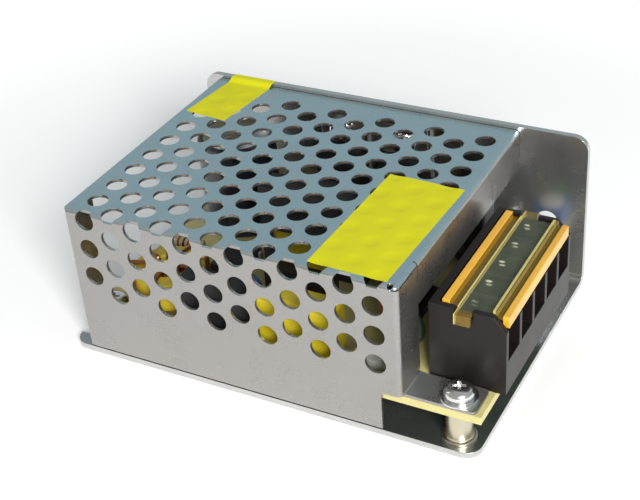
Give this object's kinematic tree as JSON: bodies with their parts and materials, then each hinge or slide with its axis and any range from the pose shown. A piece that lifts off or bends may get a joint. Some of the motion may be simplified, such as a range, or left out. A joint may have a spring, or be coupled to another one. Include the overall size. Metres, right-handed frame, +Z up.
{
  "type": "mesh case switching power supply",
  "caption": "Folded metal chassis with a perforated cover over a power supply board, and a screw terminal block under a clear amber guard at one end.",
  "frame": {"origin": "centre of the chassis floor's underside", "axes": "+X towards the terminal block, +Y towards the back wall, +Z up"},
  "size_m": [0.0872, 0.058, 0.0335],
  "materials": {
    "chassis_metal": "satin rolled sheet",
    "cover_metal": "zinc coated sheet, punched",
    "board": "glass laminate with pale edges",
    "standoff_metal": "plated, turned",
    "screw_metal": "bright plated",
    "block_plastic": "moulded, dark",
    "guard_plastic": "clear amber moulding",
    "contact_metal": "plated strip",
    "clamp_metal": "plated plate",
    "sticker": "plain yellow film",
    "ferrite": "pressed ferrite",
    "tape": "yellow film tape",
    "bobbin": "moulded",
    "can_sleeve": "shrunk sleeve",
    "copper": "enamelled wire",
    "film_case": "moulded case",
    "disc_coat": "dipped coat",
    "thermistor_coat": "dipped coat",
    "fuse_glass": "clear tube",
    "fuse_metal": "plated caps",
    "package": "moulded package",
    "resistor_coat": "lacquered body",
    "ring_core": "painted powder core",
    "pad": "thin heat pad",
    "trimmer_case": "moulded case",
    "rotor_plastic": "moulded rotor",
    "lamp_lens": "tinted lens"
  },
  "bodies": {
    "chassis": {"base_chassis": "chassis_metal", "board_screws": "screw_metal", "bridge_rectifier": "package", "circuit_board": "board", "controller_chip": "package", "diodes": "package", "disc_capacitor": "disc_coat", "foot_screw": "screw_metal", "foot_washer": "screw_metal", "fuse_caps": "fuse_metal", "fuse_tube": "fuse_glass", "indicator_lamp": "lamp_lens", "input_choke_coils": "copper", "input_choke_core": "ferrite", "input_choke_stand": "bobbin", "large_sticker": "sticker", "mains_capacitor": "can_sleeve", "mesh_cover": "cover_metal", "optocoupler": "package", "output_capacitor_1": "can_sleeve", "output_capacitor_2": "can_sleeve", "output_choke_core": "ring_core", "output_choke_winding": "copper", "output_rectifier": "package", "resistors": "resistor_coat", "safety_capacitor": "film_case", "seal_sticker": "sticker", "standoffs": "standoff_metal", "switching_transistor": "package", "terminal_contact_1": "contact_metal", "terminal_contact_2": "contact_metal", "terminal_contact_3": "contact_metal", "terminal_contact_4": "contact_metal", "terminal_contact_5": "contact_metal", "terminal_housing": "block_plastic", "thermistor": "thermistor_coat", "transformer_bobbin": "bobbin", "transformer_core": "ferrite", "transformer_winding": "tape", "transistor_pads": "pad", "transistor_screws": "screw_metal", "trimmer_body": "trimmer_case"},
    "guard": {"terminal_guard": "guard_plastic"},
    "trimmer_dial": {"trimmer_rotor": "rotor_plastic"},
    "clamp_1": {"terminal_clamp_1": "clamp_metal"},
    "screw_1": {"terminal_screw_1": "screw_metal"},
    "clamp_2": {"terminal_clamp_2": "clamp_metal"},
    "screw_2": {"terminal_screw_2": "screw_metal"},
    "clamp_3": {"terminal_clamp_3": "clamp_metal"},
    "screw_3": {"terminal_screw_3": "screw_metal"},
    "clamp_4": {"terminal_clamp_4": "clamp_metal"},
    "screw_4": {"terminal_screw_4": "screw_metal"},
    "clamp_5": {"terminal_clamp_5": "clamp_metal"},
    "screw_5": {"terminal_screw_5": "screw_metal"}
  },
  "joints": [
    {"name": "guard_lift", "type": "slide", "parent": "chassis", "child": "guard", "axis": [0, 0, 1], "range_m": [0, 0.012]},
    {"name": "trimmer_turn", "type": "hinge", "parent": "chassis", "child": "trimmer_dial", "pos_m": [0.0334, 0.0211, 0.0137], "axis": [0, 0, 1], "range_deg": [-135, 135]},
    {"name": "clamp_rise_1", "type": "slide", "parent": "chassis", "child": "clamp_1", "axis": [0, 0, 1], "range_m": [0, 0.0015]},
    {"name": "screw_turn_1", "type": "hinge", "parent": "clamp_1", "child": "screw_1", "pos_m": [0.0358, -0.01727, 0.0177], "axis": [0, 0, 1], "range_deg": [0, 1080]},
    {"name": "clamp_rise_2", "type": "slide", "parent": "chassis", "child": "clamp_2", "axis": [0, 0, 1], "range_m": [0, 0.0015]},
    {"name": "screw_turn_2", "type": "hinge", "parent": "clamp_2", "child": "screw_2", "pos_m": [0.0358, -0.01093, 0.0177], "axis": [0, 0, 1], "range_deg": [0, 1080]},
    {"name": "clamp_rise_3", "type": "slide", "parent": "chassis", "child": "clamp_3", "axis": [0, 0, 1], "range_m": [0, 0.0015]},
    {"name": "screw_turn_3", "type": "hinge", "parent": "clamp_3", "child": "screw_3", "pos_m": [0.0358, -0.00458, 0.0177], "axis": [0, 0, 1], "range_deg": [0, 1080]},
    {"name": "clamp_rise_4", "type": "slide", "parent": "chassis", "child": "clamp_4", "axis": [0, 0, 1], "range_m": [0, 0.0015]},
    {"name": "screw_turn_4", "type": "hinge", "parent": "clamp_4", "child": "screw_4", "pos_m": [0.0358, 0.00178, 0.0177], "axis": [0, 0, 1], "range_deg": [0, 1080]},
    {"name": "clamp_rise_5", "type": "slide", "parent": "chassis", "child": "clamp_5", "axis": [0, 0, 1], "range_m": [0, 0.0015]},
    {"name": "screw_turn_5", "type": "hinge", "parent": "clamp_5", "child": "screw_5", "pos_m": [0.0358, 0.00813, 0.0177], "axis": [0, 0, 1], "range_deg": [0, 1080]}
  ],
  "couplings": [
    {"joint": "screw_turn_1", "follows": "clamp_rise_1", "rad_per_m": 12566},
    {"joint": "screw_turn_2", "follows": "clamp_rise_2", "rad_per_m": 12566},
    {"joint": "screw_turn_3", "follows": "clamp_rise_3", "rad_per_m": 12566},
    {"joint": "screw_turn_4", "follows": "clamp_rise_4", "rad_per_m": 12566},
    {"joint": "screw_turn_5", "follows": "clamp_rise_5", "rad_per_m": 12566}
  ]
}
